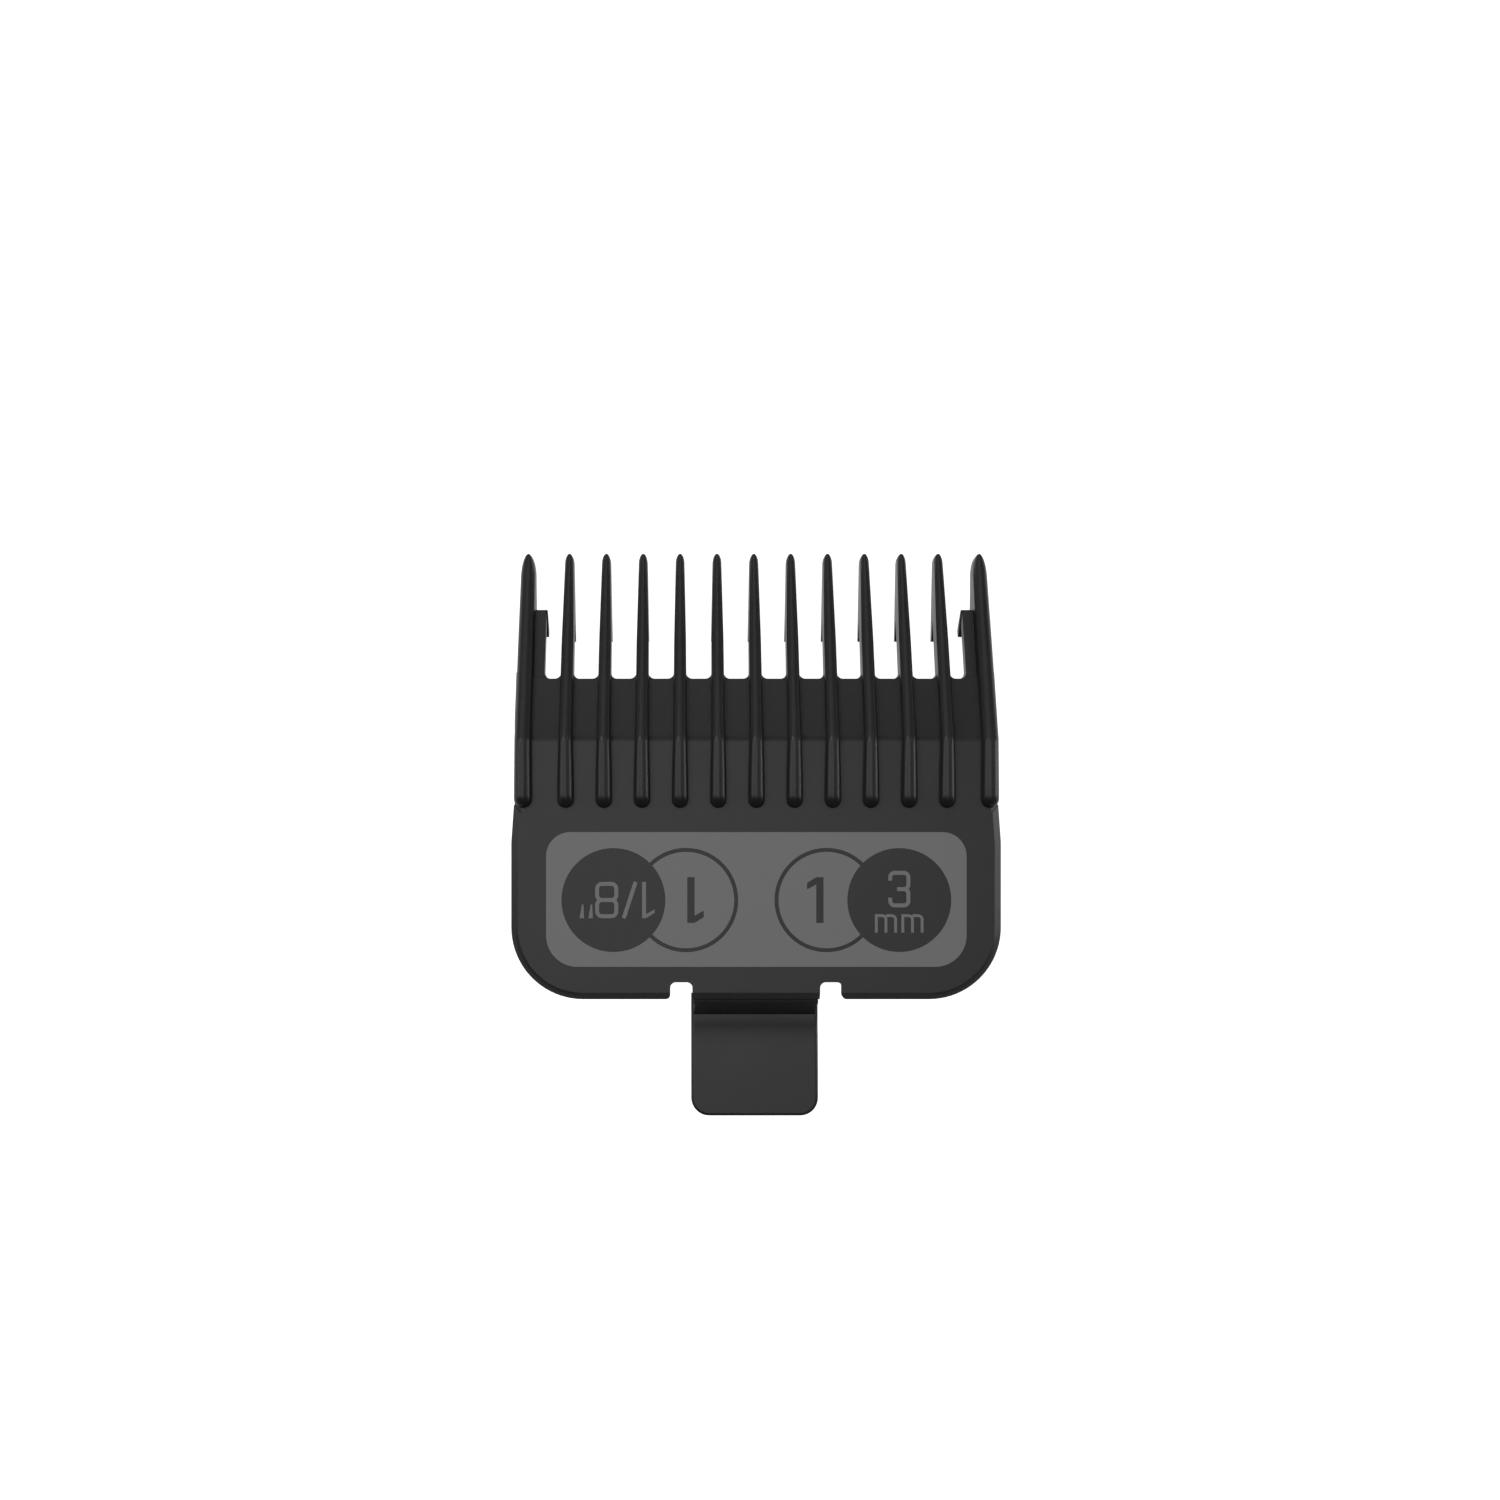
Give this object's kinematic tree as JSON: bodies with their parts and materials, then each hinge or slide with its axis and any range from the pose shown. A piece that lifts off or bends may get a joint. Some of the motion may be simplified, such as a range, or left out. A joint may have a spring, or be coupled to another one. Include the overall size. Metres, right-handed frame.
{
  "type": "hair clipper guide comb",
  "caption": "Clip-on guide comb that sets a hair clipper's cut to 3 mm, with a sprung latch, blade pocket and printed size label",
  "frame": {"origin": "under the middle of the whole comb, at the teeth's lowest level", "axes": "+X across the teeth, +Y from the latch to the tooth tips, +Z out of the skin side"},
  "size_m": [0.0472, 0.0554, 0.0098],
  "materials": {
    "moulding": "fine satin texture, near black",
    "print": "flat grey pad-printed ink"
  },
  "bodies": {
    "comb": {"comb_plate": "moulding", "tooth_01": "moulding", "tooth_02": "moulding", "tooth_03": "moulding", "tooth_04": "moulding", "tooth_05": "moulding", "tooth_06": "moulding", "tooth_07": "moulding", "tooth_08": "moulding", "tooth_09": "moulding", "tooth_10": "moulding", "tooth_11": "moulding", "outer_tooth_left": "moulding", "outer_tooth_right": "moulding", "side_hook_left": "moulding", "side_hook_right": "moulding", "side_rail_left": "moulding", "side_rail_right": "moulding", "label_panel": "print", "label_figures": "print"},
    "latch": {"latch_riser": "moulding", "latch_hook": "moulding", "thumb_tab": "moulding"}
  },
  "joints": [
    {"name": "latch_bend", "type": "hinge", "parent": "comb", "child": "latch", "pos_m": [0, -0.0158, 0.0079], "axis": [-1, 0, 0], "range_deg": [0, 15], "stiffness_Nm_per_rad": 0.2}
  ]
}
